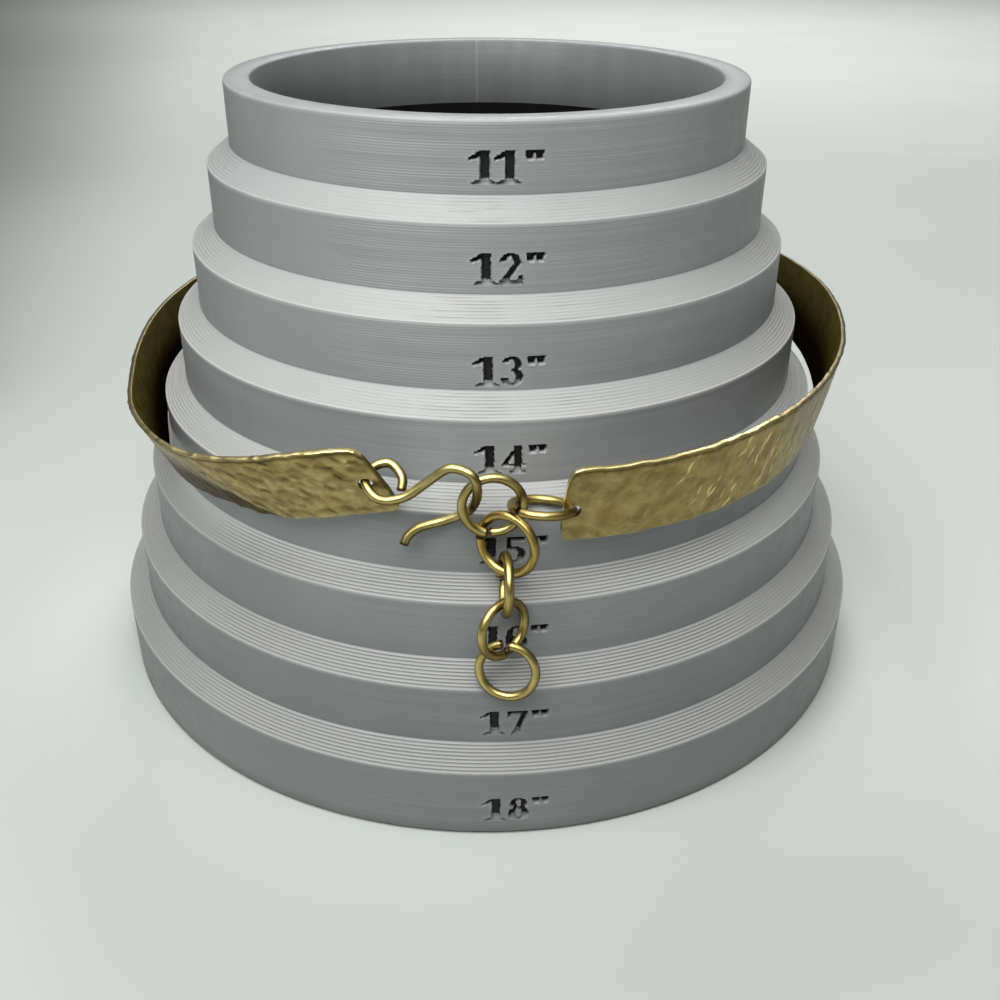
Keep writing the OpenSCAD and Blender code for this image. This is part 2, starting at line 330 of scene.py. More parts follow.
def aged_brass():
    """Hammered brass: olive and brown film, pale with wear and painted highlights, dark in painted shade,
    near black inside.
    """
    f = Finish("strip_brass", roughness=0.4, specular_ior_level=0.0)
    place = f.attribute("strip_place", "Vector")
    painted_light_and_wear = f.attribute("painted_light_and_wear")
    inner = f.attribute("inner")
    greyer_sides = f.attribute("greyer_sides")
    clouds = f.noise(f.stretch(place, (0.3, 0.36, 1.0)), 1.0, 4.0, 0.6, 0.4)
    warmth = f.noise(f.stretch(place, (0.2, 0.3, 3.0)), 1.0, 3.0, 0.6)
    specks = f.noise(place, 1.7, 4.0, 0.7)
    film = f.mix(clouds.between(0.36, 0.62), (0.205, 0.153, 0.057), (0.355, 0.258, 0.09))
    warm = f.mix(warmth.between(0.46, 0.62) * 0.6, film, (0.27, 0.17, 0.062))
    spotted = f.mix(specks.between(0.52, 0.72) * 0.4, warm, (0.1, 0.075, 0.03))
    greyed = f.mix(greyer_sides, spotted, (0.19, 0.18, 0.12))
    # Painted shade darkens the film, painted highlights and wear turn it pale gold
    shaded = f.mix((painted_light_and_wear * -1.0).between(0, 1), greyed, (0.07, 0.055, 0.022))
    bright = f.mix((painted_light_and_wear * (0.55 + clouds * 0.9)).clamped(), shaded, (0.86, 0.72, 0.35))
    # Inside: dark film with painted shade, near black low down and painted lighter towards the upper edge
    across = f.split(place)[1]
    inner_painted_light = across.between(-3.0, 5.5) * clouds.between(0.2, 0.8, 0.55, 1.1)
    inner_film_and_shade = f.mix(inner_painted_light, (0.005, 0.003, 0.0007), (0.085, 0.064, 0.018))
    f.set("Base Color", f.mix(inner, bright, inner_film_and_shade))
    f.set("Metallic", inner.between(0.3, 0.8, 1.0, 0.0))
    f.set("Roughness", (0.46 - painted_light_and_wear * 0.14 + (specks - 0.5) * 0.25).clamped())
    grain = f.noise(place, 3.0, 3.0, 0.6)
    f.set("Normal", f.bump(grain, 0.02, 0.6))
    return f.material


def wire_brass():
    """Drawn brass wire: fine lines along it, painted pale on the side the light falls on, painted brown as
    shade on the side turned away, and brown at its cuts.
    """
    f = Finish("wire_brass", metallic=1.0, roughness=0.3)
    place = f.attribute("wire_place", "Vector")
    cut = f.attribute("cut")
    painted_light_and_wear = f.attribute("painted_light_and_wear")
    golden = f.attribute("golden")
    clouds = f.noise(f.place(), 0.3, 3.0, 0.6)
    lines = f.noise(f.stretch(place, (5.0, 5.0, 0.25)), 1.0, 3.0, 0.6)
    pale = f.mix(clouds.between(0.35, 0.65), (0.6, 0.49, 0.18), (0.75, 0.64, 0.27))
    gold = f.mix(golden, pale, (0.72, 0.5, 0.14))
    brown = f.mix(clouds.between(0.35, 0.65), (0.11, 0.07, 0.018), (0.2, 0.132, 0.035))
    # Painted light: pale gold on the side facing the light, brown as painted shade on the side turned away
    worn = f.mix((painted_light_and_wear + (lines - 0.5) * 0.5).between(0.15, 0.95), brown, gold)
    f.set("Base Color", f.mix(cut.between(0.1, 0.7), worn, (0.13, 0.07, 0.042)))
    f.set("Roughness", lines.between(0.3, 0.7, 0.27, 0.4))
    f.set("Normal", f.bump(lines, 0.02, 0.5))
    return f.material


def floor_card():
    """Pale green-grey card with painted light round the stand and at the right, painted shade further
    back and at the near right, and a painted shadow at the far left.
    """
    f = Finish("floor_card", roughness=0.85)
    place = f.place()
    x, y, _ = f.split(place)
    clouds = f.noise(place, 0.01, 2.0).between(0.3, 0.7)
    card = f.mix(clouds, (0.455, 0.484, 0.452), (0.468, 0.497, 0.465))
    # Painted light round the stand and at the right
    near = (x * x + y * y).math("SQRT").between(74, 104, 1.0, 0.0)
    right = x.between(60, 110) * y.between(-75, -30) * y.between(60, 250, 1.0, 0.0)
    with_painted_light = f.mix(near.math("MAXIMUM", right), card, (0.53, 0.563, 0.528))
    # Painted shade further back and at the near right, and the painted shadow at the far left
    wedge = (x * -1.0 - 52.0).math("DIVIDE", y + 278.0)
    far = (wedge.between(0.15, 0.34, 0.0, 0.25) + 0.09) * y.between(220, 420) * y.between(800, 1150, 1.0, 0.1)
    corner_painted_shade = x.between(10, 80) * y.between(-60, -100) * 0.1
    shade = wedge.between(0.15, 0.45, 0.0, 0.85) * y.between(40, 120)
    dark = (0.02, 0.022, 0.021)
    f.set("Base Color", f.mix(shade, f.mix(far + corner_painted_shade, with_painted_light, dark), dark))
    f.set("Normal", f.bump(f.noise(place, 0.8, 3.0), 0.05, 0.3))
    return f.material


# Meshes


def make_piece(name, points, faces, finish, slot=None, nodes=(), attributes=None, sharp=40):
    """Mesh of points in millimetres, added to the scene as a piece of the object."""
    mesh = bpy.data.meshes.new(name)
    mesh.from_pydata(np.asarray(points, float) * MM, [], faces)
    for key, values in (attributes or {}).items():
        has_axes = np.ndim(values) == 2
        layer = mesh.attributes.new(key, "FLOAT_VECTOR" if has_axes else "FLOAT", "POINT")
        layer.data.foreach_set("vector" if has_axes else "value", np.ravel(values).astype(np.float32))
    mesh.polygons.foreach_set("use_smooth", [True] * len(mesh.polygons))
    mesh.set_sharp_from_angle(angle=math.radians(sharp))
    mesh.materials.append(finish)
    mesh.validate()
    piece = bpy.data.objects.new(name, mesh)
    bpy.context.scene.collection.objects.link(piece)
    if slot:
        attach(piece, "root")
        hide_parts(*nodes)
    return piece


def loops_of(count, sides):
    """Numbers of the points of a tube, by ring and place round it, and of the next place round it."""
    ids = np.arange(count * sides).reshape(count, sides)
    return ids, np.roll(ids, -1, axis=1)


# Numerals, drawn in millimetres in a box 5 high, about their own middle line

ARC_POINTS = 14


def bar(x0, x1, y0, y1):
    return np.array([[x0, y0], [x1, y0], [x1, y1], [x0, y1]], float)


def oval(mid, radii, start=0, end=360):
    a = np.radians(np.linspace(start, end, 2 * ARC_POINTS + 1))
    return np.stack([mid[0] + radii[0] * np.cos(a), mid[1] + radii[1] * np.sin(a)], -1)


def arc_stroke(mid, outer, inner, start, end):
    return np.concatenate([oval(mid, outer, start, end), oval(mid, inner, end, start)])


def shape(*points):
    return np.array(points, float)


# Each shape is an outline, or an outline and the hole in it
DIGITS = {
    1: [bar(-0.65, 0.65, 0, 5),
        shape((-1.7, 0), (1.6, 0), (1.6, 0.25), (0.65, 0.7), (-0.65, 0.7), (-1.7, 0.25)),
        shape((-0.6, 5), (-2.2, 3.9), (-2.2, 3.5), (-0.6, 4))],
    2: [arc_stroke((-0.1, 3.6), (1.45, 1.4), (0.5, 1), -30, 175),
        shape((1.2, 3), (0.3, 3.2), (-1.6, 0.4), (-1.6, 0), (-0.6, 0.3)),
        bar(-1.6, 1.7, 0, 0.75), shape((0.9, 0.7), (1.7, 0.7), (1.7, 1.5), (1.3, 1.5))],
    3: [arc_stroke((-0.1, 3.7), (1.4, 1.3), (0.5, 0.85), -90, 165),
        arc_stroke((-0.1, 1.5), (1.65, 1.5), (0.6, 1), -170, 90)],
    4: [bar(0.1, 1.2, 0, 5), bar(-1.7, 1.7, 1.3, 1.8), bar(-0.5, 1.7, 0, 0.45),
        shape((0.5, 5), (-1.7, 1.8), (-1.7, 1.3), (-1.1, 1.6), (0.5, 4))],
    5: [bar(-1.2, 1.4, 4.3, 5), bar(-1.2, -0.7, 2.5, 4.5),
        arc_stroke((-0.1, 1.6), (1.65, 1.6), (0.6, 1.1), -165, 135)],
    6: [arc_stroke((0.1, 2.5), (1.7, 2.5), (0.75, 2), 50, 250),
        (oval((0.1, 1.5), (1.6, 1.5)), oval((0.1, 1.5), (0.6, 0.95)))],
    7: [bar(-1.5, 1.6, 4.2, 5), bar(-1.5, -1.1, 3.6, 4.3),
        shape((1.6, 4.3), (0.7, 4.3), (-0.9, 0), (0.4, 0), (0.5, 1.4))],
    8: [(oval((0, 3.75), (1.35, 1.25)), oval((0, 3.75), (0.45, 0.75))),
        (oval((0, 1.5), (1.6, 1.5)), oval((0, 1.5), (0.55, 0.9)))],
}
INCH_MARK = [bar(-1.3, 1.3, 4.6, 5), shape((-1.3, 4.7), (-1.1, 3.6), (-0.3, 3.6), (-0.1, 4.7)),
             shape((0.1, 4.7), (0.3, 3.6), (1.1, 3.6), (1.3, 4.7))]
FAR = 1e3


def outline_distance(points, a):
    """Distance from points to a closed outline through points a, below zero inside it."""
    b = np.roll(a, -1, axis=0)
    edge = b - a
    rel = points[:, None] - a[None]
    along = np.clip((rel * edge).sum(-1) / np.maximum((edge * edge).sum(-1), 1e-12), 0, 1)
    near = np.linalg.norm(rel - along[..., None] * edge, axis=-1).min(1)
    spans = (a[None, :, 1] > points[:, 1:]) != (b[None, :, 1] > points[:, 1:])
    rise = np.where(np.abs(edge[:, 1]) < 1e-12, 1e-12, edge[:, 1])
    crossing = a[:, 0] + (points[:, 1:] - a[None, :, 1]) * (edge[:, 0] / rise)
    inside = (spans & (points[:, :1] < crossing)).sum(1) % 2 == 1
    return np.where(inside, -near, near)


def glyph_distance(points, shapes):
    nearest = np.full(len(points), FAR)
    for item in shapes:
        if isinstance(item, tuple):
            outer, hole = item
            d = np.maximum(outline_distance(points, outer), -outline_distance(points, hole))
        else:
            d = outline_distance(points, item)
        nearest = np.minimum(nearest, d)
    return nearest


def label_distance(size, across, height):
    """Distance to the cut of a size number, for places along the wall and over its lower line."""
    found = np.full(across.shape, FAR)
    for place, shapes in (("tens", DIGITS[1]), ("ones", DIGITS[size - 10]), ("mark", INCH_MARK)):
        points = np.stack([across - PLACES[place], height], -1)
        found = np.minimum(found, glyph_distance(points, shapes))
    return found


# Stand

BEAD = LAYER_H / 2
# Turn up the front of a printed line, and how light it is painted there: lighter where it faces up to the
# light
BEAD_TURNS = [(-35, 0.5), (10, 0.6), (50, 1), (90, 1)]
# Where three points of a line lie between its neighbours once it is smeared flat, and how flat it gets
FLAT_PLACES = (0.35, 0.6, 0.85)
FLATTENED = 0.85
# Painted lightness of the rows: 1 on a ledge's crest, lit from above, 0 on a wall, below 0 in painted shade
WALL = 0
# Painted shade along the foot of each wall
WALL_FOOT = -0.28
# Painted near black in the hollow, where the shade is deep
HOLLOW = -1
# Outer round of the rim, in shares of its chamfer: inset, drop, painted lightness
RIM_ROUND = [(0, 2, WALL), (0, 1, 0.1), (0.4, 0.3, 0.7), (0.9, 0, -0.15)]
# Painted lightness of smeared lines, and the painted shade of the troughs between clean ones on the lower
# ledges
SMEARED_LIGHT = 0.6
TROUGH_SHADE = 0.3
# Height over which the ledges count as upper ones
UPPER_LEDGES = 48
# How far the printed lines run together: plan angle from the front, share on the upper and lower ledges
SMEARED_UPPER = np.array([
    [-180, 0.3], [-80, 0.35], [-62, 0.45], [-55, 0.85], [-30, 0.85], [-18, 0.5], [-5, 0.2], [2, 0.2],
    [7, 0.55], [12, 0.2], [28, 0.85], [48, 0.9], [62, 0.4], [180, 0.3]])
SMEARED_LOWER = np.array([
    [-180, 0.3], [-66, 0.3], [-60, 0.9], [-46, 0.9], [-38, 0], [33, 0], [41, 0.85], [56, 0.85], [70, 0.5],
    [180, 0.3]])
# The same by height
SMEARED_BY_HEIGHT = np.array([[20, -0.12], [45, 0], [62, 0.15], [100, 0.2]])


def label_mid(size):
    return LABEL_MID[size] + (0 if size == FOOT_SIZE else step_top(size) - WALL_H)


def bead(out, z):
    """Rounded edge of one printed line, whose middle is at a radius and whose foot is at a height."""
    turns = [(math.radians(t), light) for t, light in BEAD_TURNS]
    return [(out + BEAD * math.cos(t), z + BEAD + BEAD * math.sin(t), light) for t, light in turns]


def stand_profile():
    """Rows of the stand's half outline (radius, height, painted lightness) from the foot over the rim into
    the hollow, the row under each number's window, and the first row of each printed line of the ledges."""
    foot = step_r(FOOT_SIZE)
    rows = [(foot - FOOT_WALL, 0, WALL), (foot - FOOT_CHAMFER, 0, WALL), (foot, FOOT_CHAMFER, WALL)]
    window_rows = {}
    bead_rows = []
    for size in SIZES:
        r = step_r(size)
        top = step_top(size)
        if size != FOOT_SIZE:
            below = step_r(size + 1)
            run = (below - r) / LEDGE_LAYERS
            z = step_top(size + 1)
            for k in range(1, LEDGE_LAYERS):
                bead_rows.append(len(rows))
                rows += bead(below - k * run - BEAD, z)
                z += LAYER_H
            z += LAYER_H
            rows += [(r, z - BEAD, WALL_FOOT), (r, z + BEAD, WALL)]
        window_rows[size] = len(rows)
        rows += [(r, label_mid(size) - WINDOW_HALF_H, WALL), (r, label_mid(size) + WINDOW_HALF_H, WALL)]
        if size == RIM_SIZE:
            rows += [(r - inset * RIM_CHAMFER, top - drop * RIM_CHAMFER, light)
                     for inset, drop, light in RIM_ROUND]
        else:
            rows += [(r, top - 2 * LAYER_H, WALL)] + bead(r - BEAD, top - LAYER_H)[1:]
    rim = step_r(RIM_SIZE) - RIM_WALL
    low = STAND_H - RIM_DEPTH
    # Painted shade inside the rim, near black in the hollow below it
    rows += [(rim + RIM_CHAMFER, STAND_H, -0.25), (rim, STAND_H - RIM_CHAMFER, -0.4), (rim, low, -0.45),
             (rim + 0.1, low - 0.15, HOLLOW)]
    widening = foot - FOOT_WALL - rim
    rows += [(rim + widening * s, low * (1 - s), HOLLOW) for s in (0.2, 0.4, 0.6, 0.8)]
    return np.array(rows), window_rows, bead_rows


def zip_loops(outer, outer_at, inner, inner_at):
    """Triangles between two closed loops whose places round a rectangle are known."""
    faces = []
    i = j = 0
    while i < len(outer) - 1 or j < len(inner) - 1:
        next_outer = outer_at[i + 1] if i < len(outer) - 1 else math.inf
        next_inner = inner_at[j + 1] if j < len(inner) - 1 else math.inf
        if next_outer <= next_inner:
            faces.append((outer[i], outer[i + 1], inner[j]))
            i += 1
        else:
            faces.append((outer[i], inner[j + 1], inner[j]))
            j += 1
    return faces


def number_patch(size, left, right, random):
    """Fine piece of wall with the number cut into it, between two plan angles. Gives its points, how deep
    in a cut each is, which sets the cut's painted shade, how light each is painted, and its cells up and
    across."""
    r = step_r(size)
    arc = math.radians(1) * r
    u0 = (left - LABEL_TURN) * arc + SIDE_MARGIN
    u1 = (right - LABEL_TURN) * arc - SIDE_MARGIN
    w = WINDOW_HALF_H - END_MARGIN
    columns = round((u1 - u0) / LABEL_CELL)
    rows = round(2 * w / LABEL_CELL)
    u, v = np.meshgrid(np.linspace(u0, u1, columns + 1), np.linspace(-w, w, rows + 1))
    # The cuts step from layer to layer, and each layer has slipped a little sideways
    layer = np.floor((v + w) / LAYER_H).astype(int)
    slip = random.uniform(-LAYER_SLIP, LAYER_SLIP, layer.max() + 2)[layer]
    level = (layer + 0.5) * LAYER_H - w
    height = (v + level) / 2 * LABEL_SQUASH + GLYPH_H / 2
    gap = label_distance(size, (u + slip).ravel(), height.ravel()).reshape(u.shape)
    cut = np.clip(0.5 - gap / LABEL_CELL, 0, 1)
    # Raised lip round the cuts, a painted highlight in their feet where light falls into them, and a pale
    # halo round them
    lip = 0.05 * np.exp(-((gap - 0.15) / 0.2) ** 2) * random.uniform(0.2, 1.4, gap.shape)
    foot = np.clip((0.8 - height - 0.2 * random.uniform(-1, 1, gap.shape)) / 0.3, 0, 1)
    halo = 0.5 * np.exp(-np.clip(gap, 0, 9) / 0.4) * (gap > 0) * random.uniform(0.3, 1.2, gap.shape)
    depth = ENGRAVE * cut * (1 + 0.06 * random.uniform(-1, 1, gap.shape))
    edge = np.ones(u.shape, bool)
    edge[1:-1, 1:-1] = False
    radius = r + np.where(edge, 0, lip * (gap > 0) - depth)
    plane = around(radius, LABEL_TURN + u / arc)
    points = np.concatenate([plane, (v + label_mid(size))[..., None]], -1).reshape(-1, 3)
    # Painted highlight in the lit feet of the cuts, and the pale halo; the cuts' painted shade is lighter in
    # their feet
    light = np.where(edge, 0, halo + 0.8 * foot * cut)
    return points, (cut * (1 - 0.85 * foot)).ravel(), light.ravel(), rows, columns


def patch_border(at, rows, columns):
    """Points round a patch, given their numbers by row and column, and their places round it, 0 to 4."""
    ids = [*at[0], *at[1:, -1], *at[-1, -2::-1], *at[-2::-1, 0]]
    places = [0]
    for side, cells in enumerate((columns, rows, columns, rows)):
        places += [side + j / cells for j in range(1, cells + 1)]
    return [int(k) for k in ids], places


def smeared_share(height, angles):
    """How far the printed lines of the ledges run together, by row and plan angle."""
    side = (angles + 180) % 360 - 180
    by_angle = np.where(height > UPPER_LEDGES, read_off(SMEARED_UPPER, 1, side),
                        read_off(SMEARED_LOWER, 1, side))
    worn = np.array([wander(np.abs(side) + 200 * (side < 0), row, 14) for row in range(len(height))])
    return np.clip(by_angle + 0.35 * np.clip(worn, 0, 1) + read_off(SMEARED_BY_HEIGHT, 1, height), 0, 1)


def add_stand(finish):
    random = np.random.RandomState(4)
    profile, window_rows, bead_rows = stand_profile()
    n = len(profile)
    turn = 360 / STAND_COLUMNS
    angles = np.arange(STAND_COLUMNS) * turn
    radius, height, light = (np.repeat(profile[:, c:c + 1], STAND_COLUMNS, 1) for c in range(3))
    smeared = smeared_share(height, angles)
    painted_trough_shade = TROUGH_SHADE * (light < 0.65) * (height < UPPER_LEDGES)
    on_ledge = np.zeros(light.shape, bool)
    for row in bead_rows:
        on_ledge[row:row + len(BEAD_TURNS)] = True
        for step, place in enumerate(FLAT_PLACES):
            for values in (radius, height):
                flat = values[row - 1] * (1 - place) + values[row + 3] * place
                values[row + step] += FLATTENED * smeared[row] * (flat - values[row + step])
    # Painted light and shade of the ledge lines: troughs darker, smeared lines evened out
    on_lines = light - painted_trough_shade * (1 - smeared) + (SMEARED_LIGHT - light) * smeared
    plane = around(radius, np.broadcast_to(angles, radius.shape))
    points = [np.concatenate([plane, height[..., None]], -1).reshape(-1, 3)]
    cuts = [np.zeros(n * STAND_COLUMNS)]
    lights = [np.where(on_ledge, on_lines, light).ravel()]
    faces = []
    open_cells = set()
    for size in SIZES:
        half = WINDOW_HALF_W / (math.radians(1) * step_r(size))
        first = math.floor((LABEL_TURN - half) / turn)
        last = math.ceil((LABEL_TURN + half) / turn)
        row = window_rows[size]
        open_cells |= {(row, j % STAND_COLUMNS) for j in range(first, last)}
        made, cut, pale, rows, columns = number_patch(size, first * turn, last * turn, random)
        at = sum(map(len, points)) + np.arange(len(made)).reshape(rows + 1, columns + 1)
        points.append(made)
        cuts.append(cut)
        lights.append(pale)
        quads = np.stack([at[:-1, :-1], at[:-1, 1:], at[1:, 1:], at[1:, :-1]], -1)
        faces += quads.reshape(-1, 4).tolist()
        wide = last - first
        low = [row * STAND_COLUMNS + j % STAND_COLUMNS for j in range(first, last + 1)]
        high = [k + STAND_COLUMNS for k in low]
        window = low + high[::-1] + low[:1]
        window_at = [j / wide for j in range(wide + 1)] + [2 + j / wide for j in range(wide + 1)] + [4]
        faces += zip_loops(window, window_at, *patch_border(at, rows, columns))
    for i in range(n):
        for j in range(STAND_COLUMNS):
            if (i, j) not in open_cells:
                a = i * STAND_COLUMNS
                b = (i + 1) % n * STAND_COLUMNS
                k = (j + 1) % STAND_COLUMNS
                faces.append((a + j, a + k, b + k, b + j))
    attributes = {"cut": np.concatenate(cuts), "painted_lightness": np.concatenate(lights)}
    points = np.concatenate(points)
    make_piece("stand_print", points, faces, finish, "printed_plastic", ["stand"], attributes, 55)


# Strip

# Plan angle, radius, height of the middle line over the resting step, lean outwards at the top
STRIP = np.array([
    [10, 65.2, 3.4, 8], [25, 66.4, 4.0, 8], [40, 66.2, 4.8, 7], [60, 64.6, 6.0, 11],
    [80, 63.0, 7.2, 16], [100, 62.6, 8.0, 19], [125, 62.4, 8.4, 14], [150, 61.6, 7.8, 7],
    [180, 61.0, 6.6, 0], [210, 63.0, 5.0, 0], [235, 64.8, 3.4, 2], [255, 64.2, 2.0, 8],
    [275, 63.1, 1.0, 14], [290, 63.7, 0.4, 20], [305, 66.4, 0.6, 25], [320, 67.8, 1.8, 30],
    [335, 66.2, 4.2, 18], [348, 63.0, 6.6, 9]])
# Ends of the strip, right and left: plan angle, share of the half width left below and above
ENDS = np.array([
    [9.3, -0.74, -0.5], [9.45, -0.87, -0.18], [9.65, -0.96, 0.12], [9.9, -1, 0.43], [10.15, -1, 0.67],
    [10.5, -1, 0.86], [11, -1, 0.96], [11.8, -1, 1],
    [343.2, -1, 1], [343.9, -1, 0.94], [344.6, -1, 0.77], [345.2, -1, 0.51], [345.7, -1, 0.27],
    [346.2, -1, 0.02], [346.7, -1, -0.23], [347, -0.97, -0.42], [347.4, -0.88, -0.66]])
# Plan angle, place across the strip
HOLES = [(10.8, -0.9), (344.1, -0.2)]
# Hammer blows: plan angle, distance between blows, their stretch, their slant, radius of the bowl
BLOWS = np.array([
    [9, 4.6, 1.3, 20, 55], [23, 4.4, 1.5, 50, 30], [30, 4.0, 2.7, 69, 8], [60, 3.6, 2.8, 70, 7],
    [90, 3.4, 1.6, 50, 10], [270, 3.4, 1.6, -50, 10], [300, 2.8, 3.4, -76, 7], [318, 2.8, 3.0, -74, 6],
    [328, 2.8, 1.9, -45, 4], [338, 2.7, 1.7, -34, 3.6], [350, 2.8, 1.6, -24, 4.5]])
# Marks of the hammer's edge: plan angles from and to, count, slant, shortest, longest, half width, height
STROKES = [
    (25.5, 42, 12, 62, 4.5, 6.5, 0.18, 1.2), (42, 66, 18, 72, 3.0, 7.0, 0.17, 0.7),
    (12, 25, 6, 50, 2.0, 4.0, 0.4, 0.2), (300, 324, 26, -76, 3.0, 7.0, 0.2, 0.55),
    (321, 347, 26, -32, 2.8, 5.5, 0.28, -1.1), (321, 347, 26, -28, 2.2, 4.6, 0.28, 0.45),
    (66, 300, 60, 75, 2.5, 7.0, 0.4, 0.4)]
# How far the edges lie from straight ones at the left front: plan angle, lower edge, upper edge
UNEVEN = np.array([
    [316, 0, 0], [321, -0.1, -0.5], [325, -0.5, -0.45], [328, -0.7, -0.3], [331, -0.7, -0.15],
    [334, -0.25, 0.1], [337, 0.15, 0.35], [341, 0.4, 0.35], [343, 0.4, 0.1], [346, 0.4, 0],
    [347.4, 0.2, 0]])
# Small waves of the edges: their seed, height and spacing, and the share that shows by plan angle
LOW_WAVES = [(21, 0.1, 2.1), (22, 0.05, 0.8)]
HIGH_WAVES = [(23, 0.12, 2.3), (24, 0.06, 0.9)]
WAVY = np.array([[60, 1], [80, 0.25], [295, 0.25], [320, 1]])
# Lower part that is beaten back at the left front: plan angle, share of the width
BENT_BACK = np.array([
    [272, 0], [288, 0.4], [305, 0.55], [317, 0.62], [319, 0.57], [320.6, 0.46], [322.6, 0.4],
    [324.3, 0.36], [325.6, 0.28], [326.9, 0.18], [328.4, 0.11], [330.5, 0.04], [332, 0]])
# How far it is beaten back, and over what distance it gets there
PUSH = np.array([[314, 0.12], [326, 0.3]])
PUSH_REACH = 1.2
# Relief of the outer and inner face: deepest dent and highest bulge
DENTS = (-0.35, 0.12)
INNER_DENTS = (-0.2, 0.1)
INNER_SHARE = 0.3
# How far the outer face sinks as a whole, height of its strokes, burrs along its edges
SUNK = 0.06
STROKE_H = 0.09
TOP_BURR = 0.08
LOW_BURR = 0.06
BURR_REACH = 0.4
# How bright the upper edge is painted for wear and light, how strongly slopes are painted light facing up
# and shaded facing down, and how worn the whole face is: plan angle, amount
TOP_WEAR_AND_LIGHT = np.array([[34, 1], [44, 0.15], [60, 0], [290, 0.1], [322, 0.9], [344.5, 1], [344.7, -0.6]])
SLOPE_LIGHT_AND_SHADE = np.array([[0, 0.35], [60, 0.2], [290, 0.2], [318, 0.9]])
WORN_FACE = np.array([[320, 0], [334, 0.09]])
WORN_LOW_EDGE = 0.8
STRIP_ROWS = 51
EDGE_ROWS = 4
FIRST_INNER = STRIP_ROWS + EDGE_ROWS
# Plan angles of the fine sections at the ends
RIGHT_SECTIONS = np.concatenate([np.linspace(9.3, 10.3, 18)[:-1], np.linspace(10.3, 12.4, 14)])
LEFT_SECTIONS = np.linspace(342.6, 347.4, 42)
# Plan angle up to which the sections between them keep a distance, and that distance
SECTION_STEPS = [(22, 0.35), (64, 0.2), (298, 1.0), (342.6, 0.2)]


def smooth_curve(table, column, x):
    """Smooth curve through one column of a table whose first column runs upwards."""
    places = table[:, 0]
    values = table[:, column]
    order = np.arange(len(places))
    before = np.maximum(order - 1, 0)
    after = np.minimum(order + 1, len(order) - 1)
    slopes = (values[after] - values[before]) / (places[after] - places[before])
    i = np.clip(np.searchsorted(places, x, side="right") - 1, 0, len(order) - 2)
    width = places[i + 1] - places[i]
    s = (x - places[i]) / width
    return (values[i] * (2 * s**3 - 3 * s**2 + 1) + slopes[i] * width * (s**3 - 2 * s**2 + s)
            + values[i + 1] * (3 * s**2 - 2 * s**3) + slopes[i + 1] * width * (s**3 - s**2))


def strip_mid(a):
    r = smooth_curve(STRIP, 1, a)
    return np.concatenate([around(r, a), REST_Z + smooth_curve(STRIP, 2, a)[..., None]], -1)


def strip_frame(a):
    """Middle of the strip, and its directions up across the width and out of its face."""
    along = unit(strip_mid(a + 0.5) - strip_mid(a - 0.5))
    level_up = unit(np.array([0, 0, 1.0]) - along * along[..., 2:])
    lean = np.radians(smooth_curve(STRIP, 3, a))[..., None]
    up = level_up * np.cos(lean) + np.cross(along, level_up) * np.sin(lean)
    return strip_mid(a), up, np.cross(along, up)


def run_along(line):
    """Length from the start of a line to each of its points."""
    return np.concatenate([[0], np.cumsum(np.linalg.norm(np.diff(line, axis=0), axis=1))])


LENGTH_ANGLES = np.linspace(9, 348, 2001)
LENGTHS = run_along(strip_mid(LENGTH_ANGLES))


def length_at(angle):
    return np.interp(angle, LENGTH_ANGLES, LENGTHS)


def angle_at(length):
    return np.interp(length, LENGTHS, LENGTH_ANGLES)


def mark_axes(x, y, cx, cy, turn, reach):
    """The columns that a mark reaches, and how far along and beside the mark their points lie."""
    near = slice(*np.searchsorted(x.mean(1), [cx - reach, cx + reach]))
    dx = x[near] - cx
    dy = y[near] - cy
    lengthwise = dx * math.cos(turn) + dy * math.sin(turn)
    return near, lengthwise, dy * math.cos(turn) - dx * math.sin(turn)


def hammered(x, y):
    """Height of the hammered face at places along and across the strip, and how near a ridge each is."""
    random = np.random.RandomState(11)
    sharpness = 45
    total = np.full(x.shape, 1e-30)
    nearest = np.full(x.shape, 1e-30)
    at = 0.0
    while at < LENGTHS[-1]:
        spacing, stretch, slant, bowl = (read_off(BLOWS, column, angle_at(at)) for column in range(1, 5))
        for row in np.arange(-STRIP_W / 2 - 1, STRIP_W / 2 + 1, spacing * 0.8):
            cx = at + random.uniform(-0.5, 0.5) * spacing
            cy = row + random.uniform(-0.45, 0.45) * spacing
            turn = math.radians(slant + random.uniform(-14, 14))
            deep = random.uniform(0.02, 0.1)
            own_bowl = bowl * random.uniform(0.8, 1.3)
            reach = spacing * (1 + stretch)
            near, lengthwise, sideways = mark_axes(x, y, cx, cy, turn, reach)
            rise = ((lengthwise / stretch) ** 2 + sideways**2) / (2 * own_bowl) - deep
            hold = np.exp(-sharpness * rise)
            total[near] += hold
            nearest[near] = np.maximum(nearest[near], hold)
        at += spacing
    face = -np.log(total) / sharpness
    return face - np.percentile(face, 60), np.clip(2 - 2 * nearest / total, 0, 1)


